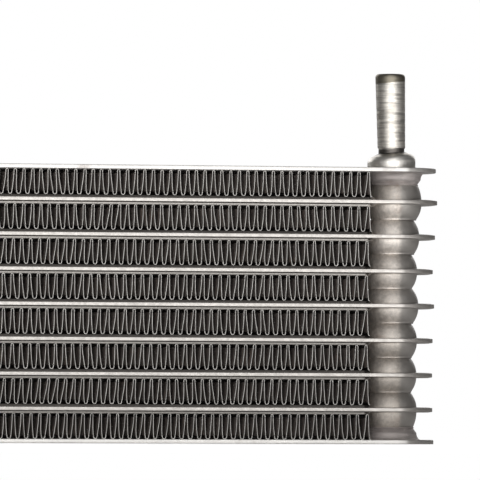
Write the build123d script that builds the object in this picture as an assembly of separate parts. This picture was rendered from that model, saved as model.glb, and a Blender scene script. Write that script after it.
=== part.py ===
from build123d import *
from math import atan, degrees, hypot
import os

# Layout of the core
HEADER_SPACING = 157.6
FIN_ROWS = 8
FIN_PITCH = 3.0
FIN_HEIGHT = 8.8
FIN_WALL = 0.2
FIN_TO_HEADER = 9.8

# Pressed sheets that make a tube plate in pairs
SHEET_WALL = 0.6
CHANNEL_RISE = 1.0
CHANNEL_WIDTH = 24.0
CHANNEL_TO_HEADER = 8.0
FLANGE_RADIUS = 15.2

# Pressed cups of the headers
CUP_SIDES = 16
HOLLOW_SIDES = 12
CUP_ROOT_RADIUS = 9.7
CUP_RIM_RADIUS = 7.7
END_CUP_RIM_RADIUS = 9.0
CUP_WALL = 0.8

# Side plates above and below the core
SIDE_PLATE_THICKNESS = 1.5
PLATE_END_SIDES = 20

# Turbulator strip inside a tube plate
TURBULATOR_WAVES = 4
TURBULATOR_WALL = 0.2
TURBULATOR_SIDE_GAP = 0.4

# Hose fittings
NIPPLE_RADIUS = 4.9
NIPPLE_BORE_RADIUS = 3.6
NIPPLE_LENGTH = 26.0
NOSE_RADIUS = 4.3
NOSE_LENGTH = 0.8
NECK_RADIUS = 4.5
NECK_HEIGHT = 1.4
COLLAR_RADIUS = 8.35
COLLAR_SHOULDER_RADIUS = 7.5
COLLAR_TOP_RADIUS = 5.4
COLLAR_BASE_HEIGHT = 3.0
COLLAR_SHOULDER_HEIGHT = 1.8
COLLAR_CROWN_HEIGHT = 1.4

TUBE_HALF = SHEET_WALL + CHANNEL_RISE
TUBE_THICKNESS = 2 * TUBE_HALF
ROW_PITCH = FIN_HEIGHT + TUBE_THICKNESS
CUP_REACH = ROW_PITCH / 2
HEADER_X = HEADER_SPACING / 2
CORE_BOTTOM = SIDE_PLATE_THICKNESS
CORE_TOP = CORE_BOTTOM + FIN_ROWS * ROW_PITCH - TUBE_THICKNESS
SIDE_PLATE_TOP = CORE_TOP + SIDE_PLATE_THICKNESS
COLLAR_HEIGHT = COLLAR_BASE_HEIGHT + COLLAR_SHOULDER_HEIGHT + COLLAR_CROWN_HEIGHT


def tube_level(number):
    """Height of the joint plane of tube plate 1 (lowest) to 7."""
    return CORE_BOTTOM + number * ROW_PITCH - TUBE_HALF


def fin_level(number):
    """Height of the middle of fin row 1 (lowest) to 8."""
    return CORE_BOTTOM + (number - 1) * ROW_PITCH + FIN_HEIGHT / 2


def many_sided(radius, sides):
    """Regular polygon round the origin, flat sides facing X and Y."""
    return RegularPolygon(radius, sides, major_radius=False, rotation=180 / sides)


def frustum(root_radius, rim_radius, height, sides=CUP_SIDES):
    """Upright tapered form standing on the origin."""
    slope = degrees(atan((root_radius - rim_radius) / height))
    return extrude(many_sided(root_radius, sides), height, taper=slope)


def cup(rim_radius, height):
    """Outside of a pressed cup standing on the origin."""
    return frustum(CUP_ROOT_RADIUS, rim_radius, height)


def cup_hollow(rim_radius, height):
    """Inside of a pressed cup, one wall within its outside."""
    return frustum(CUP_ROOT_RADIUS - CUP_WALL, rim_radius - CUP_WALL, height, HOLLOW_SIDES)


def both_headers(form):
    """The form at each header axis."""
    return Pos(-HEADER_X, 0, 0) * form + Pos(HEADER_X, 0, 0) * form


def plate_outline():
    """Long outline with round ends about the header axes."""
    ends = both_headers(many_sided(FLANGE_RADIUS, PLATE_END_SIDES))
    return Rectangle(HEADER_SPACING, 2 * FLANGE_RADIUS) + ends


def zigzag(waves, pitch, height, wall):
    """Closed section of a folded strip, crests at half its height up and down."""
    rise = wall * hypot(pitch / 2, height) / (pitch / 2)
    upper = []
    lower = []
    for step in range(2 * waves + 1):
        x = (step - waves) * pitch / 2
        crest = step % 2 == 1
        upper.append((x, height / 2 if crest else rise - height / 2))
        lower.append((x, height / 2 - rise if crest else -height / 2))
    return make_face(Polyline(upper + lower[::-1], close=True))


def upper_sheet(rim_radius):
    """Upper half of a tube plate, its joint face at zero height."""
    flange = extrude(plate_outline(), SHEET_WALL)
    channel_length = HEADER_SPACING - 2 * CHANNEL_TO_HEADER
    channel = extrude(Rectangle(channel_length, CHANNEL_WIDTH), TUBE_HALF)
    cups = both_headers(cup(rim_radius, CUP_REACH))
    pocket = extrude(
        Rectangle(channel_length - 2 * SHEET_WALL, CHANNEL_WIDTH - 2 * SHEET_WALL), CHANNEL_RISE
    )
    hollows = both_headers(cup_hollow(rim_radius, CUP_REACH))
    return flange + channel + cups - pocket - hollows


def lower_sheet(sheet):
    """Lower half of a tube plate, the same pressing turned over."""
    return mirror(sheet, Plane.XY)


def turbulator():
    """Folded strip that fills the channel between the two sheets."""
    width = CHANNEL_WIDTH - 2 * SHEET_WALL - 2 * TURBULATOR_SIDE_GAP
    length = HEADER_SPACING - 2 * FIN_TO_HEADER
    section = zigzag(TURBULATOR_WAVES, width / TURBULATOR_WAVES, 2 * CHANNEL_RISE, TURBULATOR_WALL)
    return extrude(Plane.YZ * section, length / 2, both=True)


def air_fin():
    """One row of folded fin between two tube plates."""
    waves = round((HEADER_SPACING - 2 * FIN_TO_HEADER) / FIN_PITCH)
    section = zigzag(waves, FIN_PITCH, FIN_HEIGHT, FIN_WALL)
    return extrude(Plane.XZ * section, CHANNEL_WIDTH / 2, both=True)


def side_plate():
    """Flat bar with round ends."""
    return extrude(plate_outline(), SIDE_PLATE_THICKNESS)


def top_side_plate():
    """Upper bar, with a port over each header."""
    ports = both_headers(Cylinder(NECK_RADIUS, 3 * SIDE_PLATE_THICKNESS))
    return side_plate() - ports


def end_cup():
    """Cup between a side plate and the last cup of the stack, wide end at zero height."""
    height = FIN_HEIGHT / 2
    return cup(END_CUP_RIM_RADIUS, height) - cup_hollow(END_CUP_RIM_RADIUS, height)


def collar():
    """Domed boss on the upper bar that carries a hose nipple."""
    base = extrude(many_sided(COLLAR_RADIUS, CUP_SIDES), COLLAR_BASE_HEIGHT)
    shoulder = Pos(0, 0, COLLAR_BASE_HEIGHT) * frustum(
        COLLAR_RADIUS, COLLAR_SHOULDER_RADIUS, COLLAR_SHOULDER_HEIGHT
    )
    crown = Pos(0, 0, COLLAR_BASE_HEIGHT + COLLAR_SHOULDER_HEIGHT) * frustum(
        COLLAR_SHOULDER_RADIUS, COLLAR_TOP_RADIUS, COLLAR_CROWN_HEIGHT
    )
    return base + shoulder + crown - Cylinder(NECK_RADIUS, 3 * COLLAR_HEIGHT)


def nipple():
    """Straight hose nipple, its neck set through the collar and the bar."""
    neck_length = SIDE_PLATE_THICKNESS + COLLAR_HEIGHT + NECK_HEIGHT
    top = neck_length + NIPPLE_LENGTH
    profile = Polyline(
        (NIPPLE_BORE_RADIUS, 0),
        (NECK_RADIUS, 0),
        (NECK_RADIUS, neck_length),
        (NIPPLE_RADIUS, neck_length),
        (NIPPLE_RADIUS, top - NOSE_LENGTH),
        (NOSE_RADIUS, top),
        (NIPPLE_BORE_RADIUS, top),
        close=True,
    )
    return revolve(Plane.XZ * make_face(profile), Axis.Z)


def save(name, shape):
    export_step(shape, "parts/" + name + ".step")


def main():
    os.makedirs("parts", exist_ok=True)
    sheet = upper_sheet(CUP_RIM_RADIUS)
    end_sheet = upper_sheet(END_CUP_RIM_RADIUS)
    strip = turbulator()
    fin = air_fin()
    for number in range(1, FIN_ROWS):
        level = Pos(0, 0, tube_level(number))
        upper = end_sheet if number == FIN_ROWS - 1 else sheet
        lower = lower_sheet(end_sheet if number == 1 else sheet)
        save("tube_" + str(number) + "_upper_sheet", level * upper)
        save("tube_" + str(number) + "_lower_sheet", level * lower)
        save("tube_" + str(number) + "_turbulator", level * strip)
    for number in range(1, FIN_ROWS + 1):
        save("air_fin_" + str(number), Pos(0, 0, fin_level(number)) * fin)
    save("top_side_plate", Pos(0, 0, CORE_TOP) * top_side_plate())
    save("bottom_side_plate", side_plate())
    bottom_cup = end_cup()
    top_cup = mirror(bottom_cup, Plane.XY)
    for side, x in (("left", -HEADER_X), ("right", HEADER_X)):
        save(side + "_bottom_cup", Pos(x, 0, CORE_BOTTOM) * bottom_cup)
        save(side + "_top_cup", Pos(x, 0, CORE_TOP) * top_cup)
        save(side + "_collar", Pos(x, 0, SIDE_PLATE_TOP) * collar())
        save(side + "_hose_nipple", Pos(x, 0, CORE_TOP) * nipple())


main()
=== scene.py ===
"""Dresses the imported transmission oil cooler: plates, fins, headers, fittings and studio."""

import math

import bmesh
import bpy
import numpy as np
from mathutils import Matrix, Vector


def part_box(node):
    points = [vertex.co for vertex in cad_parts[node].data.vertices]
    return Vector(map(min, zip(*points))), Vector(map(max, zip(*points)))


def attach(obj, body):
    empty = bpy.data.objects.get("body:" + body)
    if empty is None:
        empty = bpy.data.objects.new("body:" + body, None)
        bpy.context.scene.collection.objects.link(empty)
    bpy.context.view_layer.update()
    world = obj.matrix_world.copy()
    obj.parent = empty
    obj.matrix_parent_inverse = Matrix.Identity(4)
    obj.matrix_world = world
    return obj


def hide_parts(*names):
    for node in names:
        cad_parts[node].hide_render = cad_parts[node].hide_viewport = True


bl_info = {
    "name": "Transmission Oil Cooler",
    "version": (1, 0, 0),
    "blender": (4, 5, 0),
    "location": "3D View > Sidebar > Oil Cooler",
    "description": "Builds the pressed plates, folded fins and fittings of a brazed oil cooler",
    "category": "Object",
}

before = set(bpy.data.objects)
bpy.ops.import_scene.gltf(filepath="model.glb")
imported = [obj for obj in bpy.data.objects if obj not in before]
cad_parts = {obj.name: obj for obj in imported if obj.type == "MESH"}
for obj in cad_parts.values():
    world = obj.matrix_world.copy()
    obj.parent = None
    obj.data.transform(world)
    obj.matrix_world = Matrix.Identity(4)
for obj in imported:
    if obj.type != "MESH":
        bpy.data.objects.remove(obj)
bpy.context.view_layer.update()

MM = 0.001


def node_box(name):
    """Lowest and highest corner of a CAD node, in millimetres."""
    low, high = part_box(name)
    return np.array(low) / MM, np.array(high) / MM


# Sizes in millimetres and counts of pieces, the first few read from the frame
HEADER_X = float(sum(node_box("right_collar"))[0] / 2)
FLANGE_RADIUS = float(node_box("top_side_plate")[1][1])
FIN_HALF_LENGTH = float(node_box("air_fin_1")[1][0])
FIN_HALF_DEPTH = float(node_box("air_fin_1")[1][1])
FIN_ROWS = sum(name.startswith("air_fin_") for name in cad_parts)
TUBES = FIN_ROWS - 1
SHEET_WALL = 0.6
CHANNEL_RISE = 1.0
CHANNEL_TO_HEADER = 8.0
WALL_FOOT = 0.1
BEAD_HEIGHT = 0.3
CUP_REACH = 6.0
CUP_ROOT_RADIUS = 9.7
CUP_RIM_RADIUS = 7.7
CUP_WALL = 0.8
END_CUP_RIM_RADIUS = 8.5
END_CUP_FLARE = 1.6
COLLAR_RADIUS = 8.35
NECK_RADIUS = 4.5
NECK_HEIGHT = 1.4
BORE_RADIUS = 3.6

# How far collars and nipples end below their solids, where a header's patch of sheet
# meets the straight middle, from the header axis, and how much of the nearest tube
# plate's shift an end cup follows
FITTING_DROP = 0.6
HEADER_PATCH = 11.0
CUP_FOLLOWS = 0.8

# Counts of the steps round a header
ARC_RAYS = 45
SIDE_RAYS = 7
TURNED_SIDES = 96


# Properties


def length_property(name, description, default, **limits):
    """A length that a user may change, with its limits, all given in millimetres."""
    limits = {limit: value * MM for limit, value in limits.items()}
    return bpy.props.FloatProperty(
        name=name, description=description, default=default * MM, unit="LENGTH", **limits
    )


def shifts_property(name, description, shifts):
    """Shifts of like pieces to the right, lowest piece first, given in millimetres."""
    return bpy.props.FloatVectorProperty(
        name=name,
        description=description,
        default=tuple(MM * shift for shift in shifts),
        size=len(shifts),
        unit="LENGTH",
    )


def angle_property(name, description, degrees):
    """An angle that a user may change, given in degrees."""
    return bpy.props.FloatProperty(
        name=name, description=description, default=math.radians(degrees), subtype="ANGLE"
    )


def colour_property(name, description, default):
    """A linear colour that a user may change."""
    return bpy.props.FloatVectorProperty(
        name=name,
        description=description,
        default=default,
        size=3,
        min=0.0,
        max=1.0,
        subtype="COLOR",
    )


def power_property(name, description, default):
    """The power of a softbox in watts."""
    return bpy.props.FloatProperty(
        name=name, description=description, default=default, min=0.0, unit="POWER"
    )


class CoolerSheetSizes(bpy.types.PropertyGroup):
    """Sizes of the pressed sheets, header cups and side plates."""

    channel_slope: length_property(
        "Channel slope", "Width over which the channel wall rises", 0.45, min=0.2
    )
    corner_radius: length_property(
        "Channel corner", "Radius of the channel's corners near the headers", 2.8, min=0.5
    )
    root_fillet: length_property(
        "Root fillet", "Fillet where a cup leaves its flange", 0.3, min=0.05
    )
    rim_land: length_property(
        "Rim land", "Height of the upright band at the rim of a hanging cup", 0.35, min=0.05
    )
    sheet_rounding: length_property(
        "Sheet rounding", "Edge radius round a sheet's outer face", 0.12, min=0.05, max=0.55
    )
    bar_rounding: length_property(
        "Side plate rounding", "Edge radius of the two side plates", 0.3, min=0.05
    )
    plate_shifts: shifts_property(
        "Plate shifts",
        "How far each tube plate sits to the right, lowest first",
        (-0.45, -0.55, -0.4, 0.1, -0.4, 0.35, 1.1),
    )
    bar_shift: length_property(
        "Upper bar shift", "How far the upper bar sits to the right", 0.6
    )


class CoolerFinSizes(bpy.types.PropertyGroup):
    """Sizes of the folded and louvred air fins."""

    waves: bpy.props.IntProperty(
        name="Waves", description="Full waves in one row of fin", default=46, min=2, max=80
    )
    foil: length_property("Foil", "Thickness of the fin foil", 0.23, min=0.05)
    lower_bend: length_property(
        "Lower bend", "Radius of the bends that stand on the lower plate", 0.57, min=0.15, max=0.6
    )
    upper_bend: length_property(
        "Upper bend", "Radius of the bends under the upper plate", 0.38, min=0.15, max=0.6
    )
    lower_slope: angle_property("Lower slope", "How far legs splay as they leave a lower bend", 9)
    upper_slope: angle_property("Upper slope", "How far legs splay as they reach an upper bend", 2)
    plain_end: length_property(
        "Plain end", "Height of leg left without louvres beside each bend", 0.8, min=0.2
    )
    louvres: bpy.props.IntProperty(
        name="Louvres", description="Louvre slats in each half of a leg", default=9, min=2, max=16
    )
    louvre_angle: angle_property("Louvre angle", "Turn of each louvre slat out of its leg", 26)
    unevenness: length_property("Unevenness", "Spread of the bends along the row", 0.05, min=0.0)
    lean: length_property("Lean", "How far groups of legs lean to one side", 0.14, min=0.0)
    row_shifts: shifts_property(
        "Row shifts",
        "How far each row of fin sits to the right, lowest first",
        (0.5, 0.2, 0.0, 0.0, 0.0, 0.2, 0.7, 0.7),
    )
    seed: bpy.props.IntProperty(
        name="Seed", description="Start of the fins' unevenness", default=11, min=0
    )


class CoolerFittingSizes(bpy.types.PropertyGroup):
    """Sizes of the collars and hose nipples."""

    top_radius: length_property("Top radius", "Radius of a nipple near its nose", 5.2)
    foot_radius: length_property("Foot radius", "Radius of a nipple near its neck", 4.82)
    ring_pitch: length_property(
        "Ring pitch", "Distance from one shallow ring to the next", 3.3, min=0.5
    )
    ring_depth: length_property("Ring depth", "Depth of the shallow rings", 0.04, min=0.0)
    ring_tilt: angle_property("Ring tilt", "Slope of the rings across the nipple", 5)
    lean: angle_property("Lean", "How far a nipple leans towards the core", 1.1)
    shoulder: angle_property(
        "Shoulder slope", "Slope of a collar's shoulder down towards the core", 4.5
    )
    offset: length_property("Offset", "How far a fitting sits away from the core", 0.3)


class CoolerColours(bpy.types.PropertyGroup):
    """Colours of the aluminium finishes and the studio."""

    pressed: colour_property("Pressed sheet", "Brazed sheets and cups", (0.68, 0.63, 0.58))
    pressed_dull: colour_property(
        "Sheet, dull", "Clouded areas of the sheets", (0.50, 0.455, 0.41)
    )
    cup: colour_property("End cup", "Cups next to the bars", (0.54, 0.495, 0.475))
    cup_dull: colour_property("End cup, dull", "Clouded areas of the cups", (0.43, 0.39, 0.375))
    edge: colour_property("Cut edge", "Cut edges of the pressed sheets", (0.66, 0.63, 0.595))
    # Painted light: the lower sheets' channels, which face down, are made bright as if lit from
    # below
    wall: colour_property("Lower wall", "Channel walls that face down", (0.70, 0.665, 0.62))
    # Painted shade: laid over the core between the fin rows, over the upper sheets' channels and
    # at the nipples' necks, where shade falls
    painted_shade: colour_property(
        "Residue", "Dark brazing residue on walls that face up", (0.07, 0.063, 0.058)
    )
    # Painted shade on the outer ends of the plates and bars, which turn away from the light
    painted_end_shade: colour_property("Plate ends", "Darkened outer ends of the plates", (0.36, 0.34, 0.32))
    bar: colour_property("Side plate", "Upper and lower bars", (0.80, 0.78, 0.75))
    bar_dull: colour_property("Side plate, dull", "Clouded areas of the bars", (0.74, 0.72, 0.695))
    # Painted shade: the fin faces are nearly black to stand for the shade deep inside the core
    foil: colour_property("Fin foil", "Faces of the folded fins", (0.095, 0.08, 0.072))
    foil_edge: colour_property("Foil edge", "Cut edges of the folded fins", (0.40, 0.385, 0.365))
    fitting: colour_property("Fitting", "Turned collars and nipples", (0.66, 0.63, 0.58))
    fitting_dull: colour_property(
        "Fitting, dull", "Clouded areas of the fittings", (0.68, 0.645, 0.59)
    )
    # Painted highlight: a brighter colour on the collar walls that stands for their highlight
    boss: colour_property("Boss", "Brighter wall of the collars", (0.92, 0.89, 0.84))
    nose: colour_property("Nose band", "Dark band round a nipple's nose", (0.16, 0.14, 0.10))
    stain: colour_property("Stain", "Brazing stain in patches", (0.33, 0.24, 0.19))
    floor: colour_property("Floor", "Studio floor", (0.86, 0.86, 0.86))


class CoolerStudioSizes(bpy.types.PropertyGroup):
    """Camera and light of the studio."""

    lens: bpy.props.FloatProperty(
        name="Lens",
        description="Focal length for a 36 mm sensor",
        default=495.4,
        min=20.0,
        unit="CAMERA",
    )
    key_power: power_property("Front light", "Power of the front softbox", 2.5)
    strip_power: power_property("Strip light", "Power of the strip level with the core", 2.3)
    low_power: power_property("Low light", "Power of the softbox near the floor", 3.3)
    top_power: power_property("Top light", "Power of the softbox overhead", 3.7)
    back_power: power_property("Rear light", "Power of the rear softbox", 11.0)
    ambient: bpy.props.FloatProperty(
        name="Room light", description="Strength of the even room light", default=0.06, min=0.0
    )
    floor_glow: bpy.props.FloatProperty(
        name="Floor glow", description="How far the floor is lifted to white", default=0.75
    )


# Meshes


def quads(rows, columns, closed_rows=False, closed_columns=False):
    """Index quads between neighbouring samples of a grid, wrapped where a side is closed."""
    index = np.arange(rows * columns).reshape(rows, columns)
    if closed_rows:
        index = np.concatenate([index, index[:1]], axis=0)
    if closed_columns:
        index = np.concatenate([index, index[:, :1]], axis=1)
    corners = [index[:-1, :-1], index[:-1, 1:], index[1:, 1:], index[1:, :-1]]
    return np.stack(corners, axis=-1).reshape(-1, 4)


def joined(parts):
    """Several (points, quads) pairs as one, each one's indices moved past those before it."""
    starts = np.cumsum([0] + [len(points) for points, _ in parts[:-1]])
    points = np.concatenate([points for points, _ in parts])
    faces = np.concatenate([faces + start for (_, faces), start in zip(parts, starts)])
    return points, faces


def make_piece(name, node, points, faces, finish, weld=True, sharp=35.0):
    """A mesh object from points in millimetres and quads, welded and turned outwards,
    that rides on the frame in place of a CAD node."""
    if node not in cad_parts:
        raise RuntimeError("no CAD node is named " + node)
    mesh = bpy.data.meshes.new(name)
    points = (np.asarray(points, dtype=np.float64) * MM).astype(np.float32)
    mesh.vertices.add(len(points))
    mesh.vertices.foreach_set("co", points.ravel())
    mesh.loops.add(faces.size)
    mesh.loops.foreach_set("vertex_index", faces.ravel().astype(np.int32))
    mesh.polygons.add(len(faces))
    mesh.polygons.foreach_set("loop_start", np.arange(0, faces.size, 4, dtype=np.int32))
    mesh.update(calc_edges=True)
    if weld:
        shape = bmesh.new()
        shape.from_mesh(mesh)
        bmesh.ops.remove_doubles(shape, verts=shape.verts, dist=0.002 * MM)
        bmesh.ops.dissolve_degenerate(shape, edges=shape.edges, dist=0.0001 * MM)
        bmesh.ops.recalc_face_normals(shape, faces=shape.faces)
        shape.to_mesh(mesh)
        shape.free()
    mesh.polygons.foreach_set("use_smooth", np.ones(len(mesh.polygons), dtype=bool))
    mesh.set_sharp_from_angle(angle=math.radians(sharp))
    mesh.materials.append(finish)
    piece = bpy.data.objects.new(name, mesh)
    bpy.context.scene.collection.objects.link(piece)
    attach(piece, "root")
    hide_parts(node)


def revolved(profile, centre):
    """A closed profile of radius and height turned round an upright axis."""
    turn = np.linspace(0.0, 2 * math.pi, TURNED_SIDES, endpoint=False)
    radius, height = profile[:, :1], profile[:, 1:]
    x = centre[0] + radius * np.cos(turn)
    y = centre[1] + radius * np.sin(turn)
    z = centre[2] + height + 0.0 * turn
    points = np.stack([x, y, z], axis=-1).reshape(-1, 3)
    return points, quads(len(profile), TURNED_SIDES, closed_rows=True, closed_columns=True)


# Pressed sheets


def smooth(value):
    """A smooth S from zero to one."""
    step = np.clip(value, 0.0, 1.0)
    return step * step * (3 - 2 * step)


def channel_share(x, y, inset, slope, corner):
    """Share of the channel's rise at a point.

    Distance inside a long rectangle with round corners, passed through a smooth S as
    wide as the channel's wall.
    """
    half_x = HEADER_X - CHANNEL_TO_HEADER - inset
    half_y = FIN_HALF_DEPTH - inset
    over_x = np.abs(x) - (half_x - corner)
    over_y = np.abs(y) - (half_y - corner)
    outside = np.hypot(np.maximum(over_x, 0), np.maximum(over_y, 0))
    inside = corner - outside - np.minimum(np.maximum(over_x, over_y), 0)
    return smooth((inside + WALL_FOOT) / slope)


def end_bead(x, y):
    """Rise of the shallow bead round the outer ends of a sheet.

    It climbs beside the cup, falls again near the outline and grows towards the tip,
    each along a smooth S.
    """
    climb_start, climb_width = 10.3, 1.2
    fall_start, fall_width, fall_share = 14.4, 0.8, 0.7
    growth_start, growth_width = 3.0, 4.0
    beyond = np.maximum(np.abs(x) - HEADER_X, 0.0)
    out = np.hypot(beyond, y)
    rise = BEAD_HEIGHT * smooth((out - climb_start) / climb_width)
    fall = 1 - fall_share * smooth((out - fall_start) / fall_width)
    return rise * fall * smooth((beyond - growth_start) / growth_width)


def edge_height(x, y, rounding):
    """Height of a sheet's outer face: level, then a quarter round down at its outline."""
    beyond = np.maximum(np.abs(x) - HEADER_X, 0.0)
    depth = np.clip(FLANGE_RADIUS - np.hypot(beyond, y), 0.0, rounding)
    drop = rounding - np.sqrt(rounding**2 - (rounding - depth) ** 2)
    return SHEET_WALL + end_bead(x, y) - drop


def cup_wall(rim, height):
    """Outer radius of a cup at a height.

    It falls from root to rim with the square of the height above the flange, so that
    the wall stands upright there.
    """
    share = np.clip((height - SHEET_WALL) / (CUP_REACH - SHEET_WALL), 0.0, 1.0)
    return rim + (CUP_ROOT_RADIUS - rim) * (1 - share**2)


def cup_outside(rim, land, fillet):
    """Radius and height of a cup's outer side, rim first: an upright land, the curved
    wall and a quarter round at the root."""
    foot = SHEET_WALL + fillet
    height = np.linspace(CUP_REACH - land, foot, 11)
    radius = cup_wall(rim, height)
    turn = np.linspace(0.0, math.pi / 2, 4)[1:]
    bend_r = CUP_ROOT_RADIUS + fillet * (1 - np.cos(turn))
    bend_z = foot - fillet * np.sin(turn)
    corner = 0.06
    start = [
        (rim - CUP_WALL, CUP_REACH),
        (radius[0] - corner, CUP_REACH),
        (radius[0], CUP_REACH - corner),
    ]
    wall = np.stack([radius, height], axis=-1)
    if land < 2 * corner:
        wall = wall[1:]
    bend = np.stack([bend_r, bend_z], axis=-1)
    return np.concatenate([np.array(start), wall, bend])


def cup_inside(rim):
    """Radius and height of a cup's inner side, rim first, a wall's thickness inside."""
    height = np.linspace(CUP_REACH, 0.0, 6)
    return np.stack([cup_wall(rim, height) - CUP_WALL, height], axis=-1)


def edge_insets(rounding):
    """Steps inwards from an outline that follow a quarter round."""
    return rounding * (1 - np.cos(np.linspace(0, math.pi / 2, 5)))


def cross_samples(rounding, slope):
    """Positions across a sheet, close together at its rounded edge and channel wall."""
    edge = FLANGE_RADIUS - edge_insets(rounding)
    foot = FIN_HALF_DEPTH + WALL_FOOT
    wall = foot - slope * np.array([-0.02, 0.2, 0.4, 0.6, 0.8, 1.0])
    inner = foot - SHEET_WALL - slope * np.array([0.0, 1.0])
    half = np.concatenate([edge, wall, inner, [8.0, 4.0]])
    return np.concatenate([-half, [0.0], half[::-1]])


def header_rays(across):
    """Ends of the rays from a header axis to the edge of its patch, anticlockwise.

    They run round the half circle of the flange, along one straight side, back across
    the sheet at the given positions, and along the other side.
    """
    turn = np.linspace(-math.pi / 2, math.pi / 2, ARC_RAYS)
    arc = FLANGE_RADIUS * np.stack([np.cos(turn), np.sin(turn)], axis=-1)
    along = -HEADER_PATCH * np.linspace(0, 1, SIDE_RAYS)
    upper = np.stack([along, np.full(SIDE_RAYS, FLANGE_RADIUS)], axis=-1)
    back = np.stack([np.full(len(across), -HEADER_PATCH), -across], axis=-1)
    lower = np.stack([along[::-1], np.full(SIDE_RAYS, -FLANGE_RADIUS)], axis=-1)
    return np.concatenate([arc, upper[1:], back[1:], lower[1:-1]])


def skirt(line, height):
    """The upright edge of a sheet under a line of its outline, from a height down to zero."""
    height = height + end_bead(line[:, :1], line[:, 1:])
    high = np.concatenate([line, height], axis=1)
    points = np.stack([high, high * [1.0, 1.0, 0.0]])
    return points.reshape(-1, 3), quads(2, len(line))


def header_patch(across, rings, height, edge_steps):
    """The part of a sheet round one header.

    Every ray starts with the cup's rings at their own radius and height, then runs on
    the sheet to the patch's edge. Heights never fall below the sheet's own height. The
    edge steps are longer on rays that cross the straight side at a slant.
    """
    least_slant = 0.6
    ends = header_rays(across)
    length = np.hypot(ends[:, 0], ends[:, 1])
    ray = ends / length[:, None]
    slant = np.where(ends[:, 0] < 0, np.maximum(np.abs(ray[:, 1]), least_slant), 1.0)
    outer = length[:, None] - edge_steps[None, ::-1] / slant[:, None]
    share = np.linspace(0, 1, 5)[1:-1]
    first, last = rings[-1, 0], outer[:, :1]
    middle = first + (last - first) * share[None, :]
    ring = np.broadcast_to(rings[:, 0], (len(ends), len(rings)))
    radius = np.concatenate([ring, middle, outer], axis=1)
    x = HEADER_X + radius * ray[:, :1]
    y = radius * ray[:, 1:]
    floor = height(x, y)
    level = np.zeros_like(radius)
    level[:, : len(rings)] = rings[:, 1]
    z = np.maximum(level, floor)
    z[:, len(rings) :] = floor[:, len(rings) :]
    points = np.stack([x, y, z], axis=-1)
    return points.reshape(-1, 3), quads(*radius.shape, closed_rows=True)


def sheet_mesh(sizes, rim, land):
    """A pressed sheet with its joint face at zero height.

    Its outer and its inner face are each made of a patch round each header and a
    straight middle, and they meet at the outline and at the rims of the cups.
    """
    slope, corner = sizes.channel_slope / MM, sizes.corner_radius / MM
    rounding = sizes.sheet_rounding / MM

    def outer(x, y):
        share = channel_share(x, y, 0.0, slope, corner)
        return edge_height(x, y, rounding) + CHANNEL_RISE * share

    def inner(x, y):
        return CHANNEL_RISE * channel_share(x, y, SHEET_WALL, slope, corner)

    across = cross_samples(rounding, slope)
    along = np.linspace(-1, 1, 9) * (HEADER_X - HEADER_PATCH)
    grid_x, grid_y = np.meshgrid(along, across, indexing="ij")
    turned = np.array([-1.0, 1.0, 1.0])
    parts = []
    for rings, height in (
        (cup_outside(rim, land, sizes.root_fillet / MM), outer),
        (cup_inside(rim), inner),
    ):
        points, faces = header_patch(across, rings, height, edge_insets(rounding))
        parts += [(points, faces), (points * turned, faces)]
        middle = np.stack([grid_x, grid_y, height(grid_x, grid_y)], axis=-1)
        parts.append((middle.reshape(-1, 3), quads(*grid_x.shape)))
    rays = header_rays(across)
    upper_end = ARC_RAYS + SIDE_RAYS - 1
    lower_start = upper_end + len(across) - 2
    line = np.concatenate([rays[lower_start:], rays[:upper_end]]) + [HEADER_X, 0.0]
    points, faces = skirt(line, SHEET_WALL - rounding)
    parts += [(points, faces), (points * turned, faces)]
    for side in (-FLANGE_RADIUS, FLANGE_RADIUS):
        line = np.stack([along, np.full(len(along), side)], axis=-1)
        parts.append(skirt(line, SHEET_WALL - rounding))
    return joined(parts)


# Folded fins


def bend_places(sizes, random):
    """Places, radii and leg slopes of the bends of one fin row, lower and upper in turn.

    Even steps along the row, moved by small random amounts and by a slow random lean
    that carries upper and lower bends opposite ways. The end bends are small, and
    their neighbours stand a little closer to them.
    """
    end_radius, end_step, groups = 0.3, 0.4, 16
    count = 2 * sizes.waves + 1
    upper = np.arange(count) % 2 == 1
    radius = np.where(upper, sizes.upper_bend, sizes.lower_bend) / MM
    radius = radius * random.uniform(0.88, 1.12, count)
    radius[[0, -1]] = end_radius
    slope = np.where(upper, sizes.upper_slope, sizes.lower_slope)
    slope = slope * random.uniform(0.7, 1.3, count)
    x = np.linspace(-1, 1, count) * (FIN_HALF_LENGTH + 0.1)
    knots = random.normal(0.4, 1.0, groups)
    place = np.linspace(0, groups - 1, count)
    lean = np.interp(place, np.arange(groups), knots) * sizes.lean / MM
    shift = np.where(upper, lean, -lean) + random.normal(0.0, sizes.unevenness / MM, count)
    shift[[0, 1, -2, -1]] = 0.0, -end_step, end_step, 0.0
    return np.stack([x + shift, 0.0 * x], axis=-1), radius, slope, upper


def leg_curve(start, start_way, end, end_way, share):
    """Points and unit directions of legs at shares of their length.

    Each leg is a cubic that leaves its lower bend and reaches its upper bend in the
    given directions.
    """
    start, end = start[:, None, :], end[:, None, :]
    reach = np.linalg.norm(end - start, axis=-1, keepdims=True)
    start_way, end_way = start_way[:, None, :] * reach, end_way[:, None, :] * reach
    t = share[..., None]
    points = (
        (2 * t**3 - 3 * t**2 + 1) * start
        + (t**3 - 2 * t**2 + t) * start_way
        + (3 * t**2 - 2 * t**3) * end
        + (t**3 - t**2) * end_way
    )
    ways = (
        (6 * t**2 - 6 * t) * (start - end)
        + (3 * t**2 - 4 * t + 1) * start_way
        + (3 * t**2 - 2 * t) * end_way
    )
    return points, ways / np.linalg.norm(ways, axis=-1, keepdims=True)


def beside(ways):
    """Unit vectors to the right of upward directions."""
    return np.stack([ways[..., 1], -ways[..., 0]], axis=-1)


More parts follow.
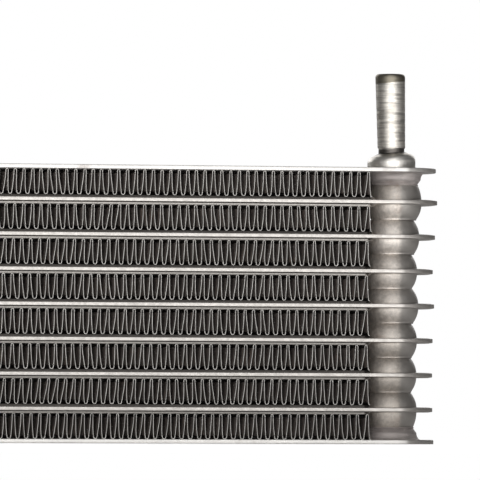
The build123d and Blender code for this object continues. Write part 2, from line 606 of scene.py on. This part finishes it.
def tubes(loops):
    """Closed bars: for each, four corners at every station along it, and two end faces."""
    bars, stations = loops.shape[:2]
    one = np.concatenate([quads(stations, 4, closed_columns=True), [[3, 2, 1, 0]]])
    one = np.concatenate([one, (stations - 1) * 4 + np.array([[0, 1, 2, 3]])])
    faces = np.arange(bars)[:, None, None] * stations * 4 + one
    return loops.reshape(-1, 3), faces.reshape(-1, 4)


def fin_legs(centre, radius, slope, upper):
    """Ends and end directions of the legs, each from its lower to its upper bend."""
    index = np.arange(len(centre) - 1)
    low = index + upper[:-1]
    high = index + 1 - upper[:-1]
    way = np.where(upper[:-1], -1.0, 1.0)

    def at(bend, side, turn):
        cosine, sine = np.cos(slope[bend]), np.sin(slope[bend])
        point = centre[bend] + radius[bend, None] * np.stack([side * cosine, turn * sine], -1)
        return point, np.stack([way * sine, cosine], axis=-1)

    return (*at(low, way, -1.0), *at(high, -way, 1.0))


def fin_bands(legs, centre, radius, slope, upper, plain, foil):
    """The foil at the bends: an arc round each bend with a plain end of leg on both sides."""
    share = plain / np.linalg.norm(legs[2] - legs[0], axis=-1)
    low_point, low_way = leg_curve(*legs, share[:, None])
    high_point, high_way = leg_curve(*legs, 1 - share[:, None])
    side = np.where(upper, 1.0, -1.0)
    begin, finish = math.pi - slope, slope.copy()
    begin[0] = finish[-1] = math.pi / 2
    angle = np.linspace(begin, finish, 8, axis=1)
    out = np.stack([np.cos(angle), side[:, None] * np.sin(angle)], axis=-1)
    arc = centre[:, None, :] + radius[:, None, None] * out

    def ends(bends, hand):
        point = np.where(bends[:, None, None], high_point, low_point)
        way = np.where(bends[:, None, None], high_way, low_way)
        return point, hand * beside(way)

    left_point, left_out = ends(upper[1:], -1.0)
    right_point, right_out = ends(upper[:-1], 1.0)
    foot = np.array([0.2, 0.0])
    left_point = np.concatenate([arc[:1, :1] - foot, left_point])
    left_out = np.concatenate([[[[0.0, -1.0]]], left_out])
    right_point = np.concatenate([right_point, arc[-1:, -1:] + foot])
    right_out = np.concatenate([right_out, [[[0.0, -1.0]]]])
    line = np.concatenate([left_point, arc, right_point], axis=1)
    out = np.concatenate([left_out, out, right_out], axis=1)
    loops = []
    for offset, y in ((1, -1), (1, 1), (-1, 1), (-1, -1)):
        place = line + offset * foil / 2 * out
        depth = np.full(place.shape[:2], y * FIN_HALF_DEPTH)
        loops.append(np.stack([place[..., 0], depth, place[..., 1]], axis=-1))
    loops = np.stack(loops, axis=2)
    loops[upper] = loops[upper][:, :, ::-1]
    return tubes(loops)


def fin_slats(legs, sizes, plain, foil):
    """The foil in the legs, cut into slats.

    Edge strips and a middle rib lie in the leg. The slats between them follow the leg
    upwards and turn one way in the front half and the other way in the rear half.
    """
    rib, slat_share, foil_share, steps = 1.0, 0.92, 0.9, 4
    count = sizes.louvres
    pitch = (FIN_HALF_DEPTH - 1.5 * rib) / count
    front = rib - FIN_HALF_DEPTH + pitch * (np.arange(count) + 0.5)
    edge = FIN_HALF_DEPTH - rib / 2
    places = np.concatenate([[-edge], front, [0.0], -front[::-1], [edge]])
    turn = np.full(count, sizes.louvre_angle)
    angles = np.concatenate([[0.0], turn, [0.0], -turn, [0.0]])
    half_width = np.where(angles == 0.0, rib, slat_share * pitch) / 2
    share = 0.9 * plain / np.linalg.norm(legs[2] - legs[0], axis=-1)
    share = share[:, None] + (1 - 2 * share[:, None]) * np.linspace(0, 1, steps)
    points, ways = leg_curve(*legs, share)
    right = beside(ways)[:, None]
    loops = []
    for across, deep in ((-1, 1), (1, 1), (1, -1), (-1, -1)):
        width = across * half_width
        thick = deep * foil * foil_share / 2
        move = width * np.sin(angles) + thick * np.cos(angles)
        depth = places + width * np.cos(angles) - thick * np.sin(angles)
        place = points[:, None] + move[None, :, None, None] * right
        depth = np.broadcast_to(depth[None, :, None], place.shape[:3])
        loops.append(np.stack([place[..., 0], depth, place[..., 1]], axis=-1))
    loops = np.stack(loops, axis=3)
    return tubes(loops.reshape(-1, steps, 4, 3))


def fin_mesh(sizes, low, high, number):
    """One row of folded foil.

    Circles of the bends' radii stand in two lines, and each leg is a cubic curve that
    touches a lower and an upper one. The foil follows the circles at the bends as a
    band, and it is cut into slats in the legs.
    """
    random = np.random.default_rng(sizes.seed + number)
    foil, plain = sizes.foil / MM, sizes.plain_end / MM
    centre, radius, slope, upper = bend_places(sizes, random)
    half_height = float(high[2] - low[2]) / 2
    centre[:, 1] = np.where(upper, 1.0, -1.0) * (half_height - foil / 2 - radius)
    legs = fin_legs(centre, radius, slope, upper)
    bands = fin_bands(legs, centre, radius, slope, upper, plain, foil)
    slats = fin_slats(legs, sizes, plain, foil)
    points, faces = joined([bands, slats])
    shift = sizes.row_shifts[number - 1] / MM
    return points + [shift, 0.0, float(high[2] + low[2]) / 2], faces


# Side plates, cups, collars and nipples


def bar_mesh(thickness, rounding):
    """A flat bar with round ends.

    The section, a middle line, a level face and a rounded edge, is carried along the
    outline of two half circles and the straight sides between them.
    """
    turn = np.linspace(-math.pi / 2, math.pi / 2, 49)
    end = np.stack([np.cos(turn), np.sin(turn)], axis=-1)
    away = np.concatenate([end, -end])
    base = np.repeat([[HEADER_X, 0.0], [-HEADER_X, 0.0]], len(turn), axis=0)
    bend = np.linspace(0, math.pi / 2, 5)
    radius = np.concatenate([[0.0], FLANGE_RADIUS - rounding * (1 - np.sin(bend))])
    height = np.concatenate([[0.0], rounding * (1 - np.cos(bend))])
    radius = np.concatenate([radius, radius[::-1]])
    height = np.concatenate([height, thickness - height[::-1]])
    plan = base[None] + radius[:, None, None] * away[None]
    rise = np.broadcast_to(height[:, None, None], plan.shape[:2] + (1,))
    points = np.concatenate([plan, rise], axis=-1)
    return points.reshape(-1, 3), quads(len(radius), len(base), closed_columns=True)


def end_cup_profile(height):
    """Closed section of an end cup, wide end at zero: a foot that flares to the bar as
    part of an ellipse, a straight wall and a small bead at the rim."""
    turn = np.linspace(0, math.pi / 2, 7)
    foot_r = CUP_ROOT_RADIUS - 0.1 + END_CUP_FLARE * (1 - np.sin(turn))
    foot_z = 1.5 * END_CUP_FLARE * (1 - np.cos(turn))
    share = np.linspace(0, 1, 7)[1:]
    bead = 0.5
    wall_z = foot_z[-1] + (height - bead - foot_z[-1]) * share
    rim = END_CUP_RIM_RADIUS
    wall_r = foot_r[-1] + (rim - foot_r[-1]) * share
    outer = np.stack([np.concatenate([foot_r, wall_r]), np.concatenate([foot_z, wall_z])], -1)
    rest = [
        (rim + 0.17, height - 0.36),
        (rim + 0.24, height - 0.2),
        (rim + 0.2, height - 0.06),
        (rim + 0.12, height),
        (rim - CUP_WALL, height),
        (CUP_ROOT_RADIUS - CUP_WALL, 0.0),
    ]
    return np.concatenate([outer, np.array(rest)])


def collar_profile(height):
    """Closed section of a collar: an upright wall, a round shoulder drawn as part of an
    ellipse, and a shallow slope up to the neck."""
    wall, neck = COLLAR_RADIUS, NECK_RADIUS
    shoulder_width, shoulder_height, shoulder_foot, corner = 2.35, 2.5, 2.3, 0.12
    turn = np.linspace(0, math.pi / 2 * 0.86, 12)
    shoulder_r = wall - shoulder_width * (1 - np.cos(turn))
    shoulder_z = shoulder_foot + shoulder_height * np.sin(turn)
    slope_r = np.linspace(shoulder_r[-1], neck + 0.35, 5)[1:]
    slope_z = np.linspace(shoulder_z[-1], height - 0.1, 5)[1:]
    radius = np.concatenate([[wall - corner, wall, wall], shoulder_r, slope_r])
    rise = np.concatenate([[0.0, corner, 1.4], shoulder_z, slope_z])
    outer = np.stack([radius, rise], axis=-1)
    return np.concatenate([outer, [(neck, height), (neck, 0.0)]])


def nipple_mesh(sizes, box_low, box_high, neck_top, lean_way):
    """A hose nipple.

    Radius and height along a closed section, with a neck, a round nose and a bore, are
    turned round the axis. The outside tapers evenly, and shallow rings, a cosine to the
    sixth power of height plus a slope across the nipple, are taken off its radius. The
    finished form leans.
    """
    bottom, top = box_low[2], box_high[2] - FITTING_DROP
    neck, bore = NECK_RADIUS, BORE_RADIUS
    foot, head = sizes.foot_radius / MM, sizes.top_radius / MM
    nose, plain, bore_depth = 1.2, 2.4, 8.0
    foot_bend, foot_corner, mouth = 0.45, 0.12, 0.35
    turn = np.linspace(0, math.pi / 2, 7)[1:]
    foot_r = [bore, neck, neck, foot - foot_bend, foot - foot_corner]
    foot_z = [bottom, bottom, neck_top, neck_top, neck_top + foot_corner]
    body_z = np.linspace(neck_top + foot_bend, top - nose, 120)
    share = (body_z - body_z[0]) / (top - body_z[0])
    body_r = foot + (head - foot) * share
    nose_r = body_r[-1] - nose * 0.75 * (1 - np.cos(turn))
    nose_z = top - nose + nose * np.sin(turn)
    mouth_r, mouth_z = [bore + 0.3, bore, bore], [top - 0.02, top - mouth, top - bore_depth]
    radius = np.concatenate([foot_r, body_r, nose_r, mouth_r])
    height = np.concatenate([foot_z, body_z, nose_z, mouth_z])
    ringed = np.zeros(len(radius))
    body = slice(len(foot_r), len(foot_r) + len(body_z))
    ringed[body] = np.clip((top - nose - plain - body_z) / 0.8, 0, 1)
    angle = np.linspace(0, 2 * math.pi, TURNED_SIDES, endpoint=False)
    across = radius[:, None] * np.cos(angle)
    slope = height[:, None] + across * math.tan(sizes.ring_tilt) * -lean_way
    wave = np.cos(math.pi * (slope - top) / (sizes.ring_pitch / MM)) ** 6
    taken = sizes.ring_depth / MM * wave * ringed[:, None]
    reach = radius[:, None] - taken
    centre = (box_low + box_high) / 2
    x = reach * np.cos(angle)
    y = reach * np.sin(angle)
    z = height[:, None] + 0 * angle
    raised = np.clip(z - neck_top + 1.0, 0, None)
    x = x + raised * math.tan(sizes.lean) * lean_way
    points = np.stack([centre[0] + x, centre[1] + y, z], axis=-1).reshape(-1, 3)
    return points, quads(len(radius), TURNED_SIDES, closed_rows=True, closed_columns=True)


# Finishes


def add_node(tree, kind, inputs=None, **settings):
    """A shader node with its settings and socket values."""
    made = tree.nodes.new(kind)
    for name, value in settings.items():
        setattr(made, name, value)
    for name, value in (inputs or {}).items():
        made.inputs[name].default_value = value
    return made


def noise(tree, place, scale, detail=3.0, roughness=0.55):
    """Noise in the object's own coordinates."""
    made = add_node(
        tree,
        "ShaderNodeTexNoise",
        {"Scale": scale, "Detail": detail, "Roughness": roughness},
    )
    tree.links.new(place, made.inputs["Vector"])
    return made.outputs["Fac"]


def between(tree, value, low, high, to_low=0.0, to_high=1.0):
    """A value mapped smoothly from one range to another."""
    made = add_node(
        tree,
        "ShaderNodeMapRange",
        {"From Min": low, "From Max": high, "To Min": to_low, "To Max": to_high},
        interpolation_type="SMOOTHSTEP",
    )
    tree.links.new(value, made.inputs["Value"])
    return made.outputs["Result"]


def arithmetic(tree, operation, first, second=None):
    """One sum on sockets or numbers."""
    made = add_node(tree, "ShaderNodeMath", operation=operation)
    for index, value in enumerate((first, second)):
        if isinstance(value, (int, float)):
            made.inputs[index].default_value = value
        elif value is not None:
            tree.links.new(value, made.inputs[index])
    return made.outputs[0]


def blended(tree, share, first, second, blend_type="MIX"):
    """Two colours mixed by a share."""
    made = add_node(tree, "ShaderNodeMix", data_type="RGBA", blend_type=blend_type)
    for index, value in ((0, share), (6, first), (7, second)):
        socket = made.inputs[index]
        if isinstance(value, (int, float)):
            socket.default_value = value
        elif isinstance(value, bpy.types.NodeSocket):
            tree.links.new(value, socket)
        else:
            socket.default_value = (*value, 1.0)
    return made.outputs[2]


def start_material(name, metallic):
    """A material with its tree, shader and object coordinates."""
    material = bpy.data.materials.new(name)
    material.use_nodes = True
    tree = material.node_tree
    shader = tree.nodes["Principled BSDF"]
    shader.inputs["Metallic"].default_value = metallic
    place = add_node(tree, "ShaderNodeTexCoord").outputs["Object"]
    return material, tree, shader, place


def aluminium(
    name, bright, dull, stain, stain_share, roughness, metallic,
    grain=(1.0, 1.0, 1.0), bump=0.12, contrast=0.12
):
    """Brazed aluminium: slow clouds, brown stain in patches, pale flecks and fine grain.

    Its tree, shader, coordinates and colour are handed back for marks of a piece's own.
    """
    _, tree, shader, place = start_material(name, metallic)
    clouds = between(tree, noise(tree, place, 70.0, 4.0), 0.38, 0.66)
    colour = blended(tree, clouds, dull, bright)
    patches = between(tree, noise(tree, place, 120.0, 5.0, 0.62), 0.56, 0.74)
    colour = blended(tree, arithmetic(tree, "MULTIPLY", patches, stain_share), colour, stain)
    mapping = add_node(tree, "ShaderNodeMapping", {"Scale": grain})
    tree.links.new(place, mapping.inputs["Vector"])
    lines = noise(tree, mapping.outputs["Vector"], 900.0, 4.0, 0.7)
    tone = between(tree, lines, 0.3, 0.7, 1.0 - contrast, 1.0 + contrast)
    colour = blended(tree, 1.0, colour, tone, "MULTIPLY")
    flecks = between(tree, noise(tree, place, 1500.0, 2.0), 0.66, 0.74, 0.0, 0.35)
    colour = blended(tree, flecks, colour, (0.8, 0.79, 0.76))
    tree.links.new(colour, shader.inputs["Base Color"])
    spread = between(tree, lines, 0.3, 0.7, roughness - 0.06, roughness + 0.08)
    spread = arithmetic(tree, "ADD", spread, arithmetic(tree, "MULTIPLY", patches, 0.12))
    tree.links.new(spread, shader.inputs["Roughness"])
    height = arithmetic(tree, "ADD", lines, noise(tree, place, 260.0, 3.0))
    relief = add_node(tree, "ShaderNodeBump", {"Strength": bump, "Distance": 0.4 * MM})
    tree.links.new(height, relief.inputs["Height"])
    tree.links.new(relief.outputs["Normal"], shader.inputs["Normal"])
    return tree, shader, place, colour


def position(tree, place):
    """The object coordinates as three separate values."""
    split = add_node(tree, "ShaderNodeSeparateXYZ")
    tree.links.new(place, split.inputs[0])
    return split.outputs["X"], split.outputs["Y"], split.outputs["Z"]


def span(tree, value, start, end, to_start, to_end):
    """A length in metres mapped smoothly between two places given in millimetres."""
    return between(tree, value, start * MM, end * MM, to_start, to_end)


def plate_marks(made, colours, start, channel=None):
    """A plate finish with painted shade on the outer ends of the plates.

    The sheets also get painted shade over the core between the fin rows, a colour of their
    own over the channel, painted shade on the upper sheets and painted light on the lower
    ones, and pale cut edges.
    """
    tree, shader, place, colour = made
    x, y, _ = position(tree, place)
    out = arithmetic(tree, "ABSOLUTE", x)
    if channel is not None:
        side = arithmetic(tree, "ABSOLUTE", y)
        # Painted shade over the core between the fin rows, where the fins and flanges shade the
        # sheets
        along = span(tree, out, HEADER_X - 10.5, HEADER_X - 7.6, 0.9, 0.0)
        colour = blended(tree, along, colour, colours.painted_shade)
        # The channel's own colour: painted shade on the upper sheets, painted light on the lower
        # sheets
        inside = span(tree, side, FIN_HALF_DEPTH - 0.12, FIN_HALF_DEPTH - 0.06, 1.0, 0.0)
        colour = blended(tree, arithmetic(tree, "MULTIPLY", along, inside), colour, channel)
        cut = span(tree, side, FLANGE_RADIUS - 0.5, FLANGE_RADIUS - 0.2, 0.0, 0.85)
        colour = blended(tree, cut, colour, colours.edge)
    # Painted shade: the outer ends darken beyond the header axis, where they turn away from the
    # light
    end = span(tree, out, HEADER_X + start, HEADER_X + start + 2.0, 0.0, 0.85)
    tree.links.new(blended(tree, end, colour, colours.painted_end_shade), shader.inputs["Base Color"])


def foil_material(colours):
    """Fin foil: faces painted nearly black as painted shade deep in the core, brighter cut edges
    at the front and back of the core.
    """
    dull = tuple(0.7 * value for value in colours.foil)
    tree, shader, place, colour = aluminium(
        "fin_foil", colours.foil, dull, colours.stain, stain_share=0.3, roughness=0.5,
        metallic=0.75, grain=(1.0, 1.0, 0.2), bump=0.05,
    )
    # Painted shade: the faces stay nearly black inside the core and brighten towards the front and
    # back
    depth = arithmetic(tree, "ABSOLUTE", position(tree, place)[1])
    edge = span(tree, depth, FIN_HALF_DEPTH - 0.9, FIN_HALF_DEPTH - 0.15, 0.0, 1.0)
    colour = blended(tree, edge, colour, colours.foil_edge)
    tree.links.new(colour, shader.inputs["Base Color"])


def fitting_material(colours, sizes):
    """Turned fitting: fine lines round it, a dark band at the nose, painted shadow at the neck
    and the collar painted brighter as a painted highlight. The bounds between them slope
    like the rings and are ragged."""
    tree, shader, place, colour = aluminium(
        "turned_fitting", colours.fitting, colours.fitting_dull, colours.stain,
        stain_share=0.45, roughness=0.42, metallic=0.95, grain=(0.12, 0.12, 2.4), contrast=0.3,
    )
    x, _, z = position(tree, place)
    across = arithmetic(tree, "SUBTRACT", arithmetic(tree, "ABSOLUTE", x), HEADER_X * MM)
    slope = arithmetic(tree, "MULTIPLY", across, math.tan(sizes.ring_tilt))
    ragged = arithmetic(tree, "MULTIPLY", noise(tree, place, 500.0, 3.0), 0.6 * MM)
    height = arithmetic(tree, "ADD", arithmetic(tree, "SUBTRACT", z, slope), ragged)
    top = float(node_box("right_hose_nipple")[1][2]) - FITTING_DROP
    neck = float(node_box("right_collar")[1][2]) - FITTING_DROP
    band = span(tree, height, top - 2.9, top - 2.5, 0.0, 0.87)
    colour = blended(tree, band, colour, colours.nose)
    # Painted shadow in the gap at the neck, between the nipple and the collar
    below = span(tree, height, neck + 1.4, neck + 2.0, 1.0, 0.0)
    above = span(tree, height, neck - 0.4, neck + 0.2, 0.0, 0.9)
    painted_neck_shadow = arithmetic(tree, "MULTIPLY", below, above)
    colour = blended(tree, painted_neck_shadow, colour, colours.painted_shade)
    # Painted highlight: the collar's wall below the neck is made brighter than the nipple
    boss = span(tree, height, neck - 1.4, neck - 0.8, 0.75, 0.0)
    colour = blended(tree, boss, colour, colours.boss)
    tree.links.new(colour, shader.inputs["Base Color"])


def finish_named(name):
    """A finish made earlier in the run."""
    material = bpy.data.materials.get(name)
    if material is None:
        raise RuntimeError("make the finishes first: " + name)
    return material


# Operators


class OilCoolerFinishes(bpy.types.Operator):
    """Make the aluminium finishes"""

    bl_idname = "oil_cooler.finishes"
    bl_label = "Finishes"
    bl_options = {"REGISTER", "UNDO"}

    def execute(self, context):
        colours = context.scene.cooler_colours
        # Lit and shaded copies of one aluminium: the lower sheets, whose cups face down, are
        # painted lighter and the upper sheets darker, with painted light and painted shade on
        # their channels
        for name, channel, tone in (
            ("upper_sheet", colours.painted_shade, 0.94), ("lower_sheet", colours.wall, 1.1)
        ):
            bright = tuple(tone * value for value in colours.pressed)
            dull = tuple(tone * value for value in colours.pressed_dull)
            sheet = aluminium(
                name, bright, dull, colours.stain, stain_share=0.5, roughness=0.5,
                metallic=0.8, bump=0.16, contrast=0.15,
            )
            plate_marks(sheet, colours, 0.8, channel)
        bar = aluminium(
            "rolled_bar", colours.bar, colours.bar_dull, colours.stain, stain_share=0.2,
            roughness=0.48, metallic=0.7, grain=(0.08, 1.0, 1.0), bump=0.08,
        )
        plate_marks(bar, colours, 2.4)
        aluminium(
            "drawn_cup", colours.cup, colours.cup_dull, colours.stain, stain_share=0.3,
            roughness=0.66, metallic=0.8, grain=(0.3, 0.3, 2.0), bump=0.14, contrast=0.15,
        )
        aluminium(
            "strip", colours.pressed, colours.pressed_dull, colours.stain, stain_share=0.3,
            roughness=0.45, metallic=0.8, grain=(0.2, 1.0, 1.0), bump=0.08,
        )
        foil_material(colours)
        fitting_material(colours, context.scene.cooler_fittings)
        return {"FINISHED"}


class OilCoolerTubePlates(bpy.types.Operator):
    """Press the sheets that make the tube plates in pairs"""

    bl_idname = "oil_cooler.tube_plates"
    bl_label = "Tube plates"
    bl_options = {"REGISTER", "UNDO"}

    def execute(self, context):
        sizes = context.scene.cooler_sheets
        upward, downward = finish_named("upper_sheet"), finish_named("lower_sheet")
        land = sizes.rim_land / MM
        rising = sheet_mesh(sizes, CUP_RIM_RADIUS, 0.0)
        hanging = sheet_mesh(sizes, CUP_RIM_RADIUS, land)
        last = sheet_mesh(sizes, END_CUP_RIM_RADIUS, 0.0)
        for number in range(1, TUBES + 1):
            upper, lower = f"tube_{number}_upper_sheet", f"tube_{number}_lower_sheet"
            place = [sizes.plate_shifts[number - 1] / MM, 0.0, float(node_box(upper)[0][2])]
            name = f"sheet_{number}"
            points, faces = last if number == TUBES else rising
            points = points + place
            make_piece(name + "_upper", upper, points, faces, upward)
            points, faces = last if number == 1 else hanging
            points = points * [1, 1, -1] + place
            make_piece(name + "_lower", lower, points, faces, downward)
        return {"FINISHED"}


class OilCoolerAirFins(bpy.types.Operator):
    """Fold the louvred air fins"""

    bl_idname = "oil_cooler.air_fins"
    bl_label = "Air fins"
    bl_options = {"REGISTER", "UNDO"}

    def execute(self, context):
        sizes = context.scene.cooler_fins
        finish = finish_named("fin_foil")
        for number in range(1, FIN_ROWS + 1):
            name, node = f"folded_fin_{number}", f"air_fin_{number}"
            points, faces = fin_mesh(sizes, *node_box(node), number)
            make_piece(
                name, node, points, faces, finish, weld=False, sharp=50.0
            )
        return {"FINISHED"}


class OilCoolerTurbulators(bpy.types.Operator):
    """Give the strips inside the tube plates their finish"""

    bl_idname = "oil_cooler.turbulators"
    bl_label = "Turbulators"
    bl_options = {"REGISTER", "UNDO"}

    def execute(self, context):
        finish = finish_named("strip")
        for number in range(1, TUBES + 1):
            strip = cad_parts[f"tube_{number}_turbulator"]
            strip.data.materials.clear()
            strip.data.materials.append(finish)
        return {"FINISHED"}


class OilCoolerSidePlates(bpy.types.Operator):
    """Make the bars above and below the core"""

    bl_idname = "oil_cooler.side_plates"
    bl_label = "Side plates"
    bl_options = {"REGISTER", "UNDO"}

    def execute(self, context):
        sizes = context.scene.cooler_sheets
        finish = finish_named("rolled_bar")
        for level, shift in (("top", sizes.bar_shift / MM), ("bottom", 0.0)):
            node = level + "_side_plate"
            low, high = node_box(node)
            points, faces = bar_mesh(float(high[2] - low[2]), sizes.bar_rounding / MM)
            points = points + [shift, 0, low[2]]
            make_piece(level + "_bar", node, points, faces, finish)
        return {"FINISHED"}


class OilCoolerEndCups(bpy.types.Operator):
    """Make the cups between the stack and the side plates"""

    bl_idname = "oil_cooler.end_cups"
    bl_label = "End cups"
    bl_options = {"REGISTER", "UNDO"}

    def execute(self, context):
        finish = finish_named("drawn_cup")
        shifts = context.scene.cooler_sheets.plate_shifts
        for side, way in (("left", -1), ("right", 1)):
            for level, turned in (("bottom", 1), ("top", -1)):
                name, node = f"{side}_{level}_end_cup", f"{side}_{level}_cup"
                low, high = node_box(node)
                profile = end_cup_profile(float(high[2] - low[2])) * [1, turned]
                foot = low[2] if turned > 0 else high[2]
                shift = shifts[0 if level == "bottom" else -1] / MM * CUP_FOLLOWS
                points, faces = revolved(profile, (way * HEADER_X + shift, 0.0, foot))
                make_piece(name, node, points, faces, finish)
        return {"FINISHED"}


class OilCoolerFittings(bpy.types.Operator):
    """Turn the collars and hose nipples"""

    bl_idname = "oil_cooler.fittings"
    bl_label = "Fittings"
    bl_options = {"REGISTER", "UNDO"}

    def execute(self, context):
        sizes = context.scene.cooler_fittings
        finish = finish_named("turned_fitting")
        for side, way in (("left", -1), ("right", 1)):
            collar, nipple = side + "_collar", side + "_hose_nipple"
            low, high = node_box(collar)
            collar_top = float(high[2]) - FITTING_DROP
            profile = collar_profile(collar_top - float(low[2]))
            points, faces = revolved(profile, (way * HEADER_X, 0.0, low[2]))
            raised = np.clip((points[:, 2] - low[2] - 0.8) / 3.0, 0, 1)
            across = (points[:, 0] - way * HEADER_X) * way
            points[:, 2] += raised * across * math.tan(sizes.shoulder)
            points[:, 0] += way * sizes.offset / MM
            make_piece(side + "_boss", collar, points, faces, finish)
            neck_top = collar_top + NECK_HEIGHT
            points, faces = nipple_mesh(sizes, *node_box(nipple), neck_top, -way)
            points[:, 0] += way * sizes.offset / MM
            make_piece(side + "_nipple", nipple, points, faces, finish)
        return {"FINISHED"}


def studio_floor(colour, glow):
    """A round floor that keeps the object's shadow, lifted to white for the camera."""
    radius, sides = 0.7, 128
    turn = np.linspace(0, 2 * math.pi, sides, endpoint=False)
    rim = np.stack([radius * np.cos(turn), radius * np.sin(turn), 0 * turn], axis=-1)
    mesh = bpy.data.meshes.new("floor")
    mesh.from_pydata(rim.tolist(), [], [tuple(range(len(rim)))])
    material, tree, shader, _ = start_material("studio_floor", 0.0)
    shader.inputs["Base Color"].default_value = (*colour, 1.0)
    shader.inputs["Roughness"].default_value = 0.9
    shader.inputs["Emission Color"].default_value = (1.0, 1.0, 1.0, 1.0)
    path = add_node(tree, "ShaderNodeLightPath")
    glossy = arithmetic(tree, "MULTIPLY", path.outputs["Is Glossy Ray"], 0.1)
    seen = arithmetic(tree, "MAXIMUM", path.outputs["Is Camera Ray"], glossy)
    tree.links.new(arithmetic(tree, "MULTIPLY", seen, glow), shader.inputs["Emission Strength"])
    mesh.materials.append(material)
    floor = bpy.data.objects.new("floor", mesh)
    bpy.context.scene.collection.objects.link(floor)


def studio_room(ambient):
    """A world that is white for camera and transmitted rays and dim for all others."""
    world = bpy.data.worlds.new("studio_room")
    world.use_nodes = True
    tree = world.node_tree
    tree.nodes.clear()
    path = add_node(tree, "ShaderNodeLightPath")
    glossy = arithmetic(tree, "MULTIPLY", path.outputs["Is Glossy Ray"], ambient)
    seen = arithmetic(tree, "MAXIMUM", path.outputs["Is Camera Ray"], glossy)
    seen = arithmetic(tree, "MAXIMUM", seen, path.outputs["Is Transmission Ray"])
    strength = arithmetic(tree, "MAXIMUM", seen, ambient)
    back = add_node(tree, "ShaderNodeBackground", {"Color": (1.0, 1.0, 1.0, 1.0)})
    tree.links.new(strength, back.inputs["Strength"])
    out = add_node(tree, "ShaderNodeOutputWorld")
    tree.links.new(back.outputs[0], out.inputs["Surface"])
    bpy.context.scene.world = world


def softbox(name, place, aim, size, power):
    """A rectangular area light turned towards a point."""
    data = bpy.data.lights.new(name, "AREA")
    data.shape = "RECTANGLE"
    data.size, data.size_y = size
    data.energy = power
    lamp = bpy.data.objects.new(name, data)
    lamp.location = place
    lamp.rotation_euler = (Vector(aim) - Vector(place)).to_track_quat("-Z", "Y").to_euler()
    bpy.context.scene.collection.objects.link(lamp)


def studio_camera(lens):
    """A long lens aimed at the right half of the core by its yaw, pitch and roll."""
    yaw, pitch, roll = (math.radians(angle) for angle in (9.875, 1.6, 0.2))
    level_part = math.cos(pitch)
    ahead = Vector((math.sin(yaw) * level_part, math.cos(yaw) * level_part, math.sin(pitch)))
    level = Vector((math.cos(yaw), -math.sin(yaw), 0.0))
    upright = level.cross(ahead)
    right = math.cos(roll) * level + math.sin(roll) * upright
    above = -math.sin(roll) * level + math.cos(roll) * upright
    data = bpy.data.cameras.new("camera")
    data.lens = lens
    data.sensor_width = 36.0
    data.clip_start, data.clip_end = 0.05, 50.0
    camera = bpy.data.objects.new("camera", data)
    place = Vector((HEADER_X * MM - 0.44598, -2.25663, 0.00663))
    turned = Matrix((right, above, -ahead)).transposed().to_4x4()
    camera.matrix_world = Matrix.Translation(place) @ turned
    bpy.context.scene.collection.objects.link(camera)
    bpy.context.scene.camera = camera


class OilCoolerStudio(bpy.types.Operator):
    """Set up the floor, the lights and the camera"""

    bl_idname = "oil_cooler.studio"
    bl_label = "Studio"
    bl_options = {"REGISTER", "UNDO"}

    def execute(self, context):
        studio = context.scene.cooler_studio
        studio_floor(context.scene.cooler_colours.floor, studio.floor_glow)
        studio_room(studio.ambient)
        for name, place, aim, size, power in (
            ("front", (0.0, -1.35, 0.25), (0.0, 0.0, 0.06), (1.4, 0.6), studio.key_power),
            ("strip", (0.0, -0.8, 0.04), (0.0, 0.0, 0.04), (1.2, 0.07), studio.strip_power),
            ("low", (0.05, -0.42, 0.004), (0.05, -0.42, 1.0), (1.0, 0.46), studio.low_power),
            ("top", (0.0, -1.05, 0.95), (0.0, 0.0, 0.05), (0.9, 0.7), studio.top_power),
            ("rear", (0.0, 1.25, 0.65), (0.0, 0.0, 0.05), (2.6, 0.8), studio.back_power),
        ):
            softbox(name + "_softbox", place, aim, size, power)
        studio_camera(studio.lens)
        context.scene.view_settings.view_transform = "Standard"
        return {"FINISHED"}


class OilCoolerPanel(bpy.types.Panel):
    """Steps and sizes of the oil cooler"""

    bl_idname = "VIEW3D_PT_oil_cooler"
    bl_label = "Oil Cooler"
    bl_space_type = "VIEW_3D"
    bl_region_type = "UI"
    bl_category = "Oil Cooler"

    def draw(self, context):
        for step in STEPS:
            self.layout.operator(step.bl_idname)
        for name in SETTINGS:
            group = getattr(context.scene, name)
            box = self.layout.box()
            for key in group.__annotations__:
                box.prop(group, key)


STEPS = (
    OilCoolerFinishes,
    OilCoolerTubePlates,
    OilCoolerAirFins,
    OilCoolerTurbulators,
    OilCoolerSidePlates,
    OilCoolerEndCups,
    OilCoolerFittings,
    OilCoolerStudio,
)
SETTINGS = {
    "cooler_sheets": CoolerSheetSizes,
    "cooler_fins": CoolerFinSizes,
    "cooler_fittings": CoolerFittingSizes,
    "cooler_colours": CoolerColours,
    "cooler_studio": CoolerStudioSizes,
}


def register():
    """Registers the settings, operators and panel."""
    for name, group in SETTINGS.items():
        bpy.utils.register_class(group)
        setattr(bpy.types.Scene, name, bpy.props.PointerProperty(type=group))
    for step in STEPS:
        bpy.utils.register_class(step)
    bpy.utils.register_class(OilCoolerPanel)


def unregister():
    """Takes the panel, operators and settings out again."""
    bpy.utils.unregister_class(OilCoolerPanel)
    for step in reversed(STEPS):
        bpy.utils.unregister_class(step)
    for name, group in reversed(SETTINGS.items()):
        delattr(bpy.types.Scene, name)
        bpy.utils.unregister_class(group)


def main():
    register()
    bpy.ops.oil_cooler.finishes()
    bpy.ops.oil_cooler.tube_plates()
    bpy.ops.oil_cooler.air_fins()
    bpy.ops.oil_cooler.turbulators()
    bpy.ops.oil_cooler.side_plates()
    bpy.ops.oil_cooler.end_cups()
    bpy.ops.oil_cooler.fittings()
    bpy.ops.oil_cooler.studio()


if __name__ == "__main__":
    main()
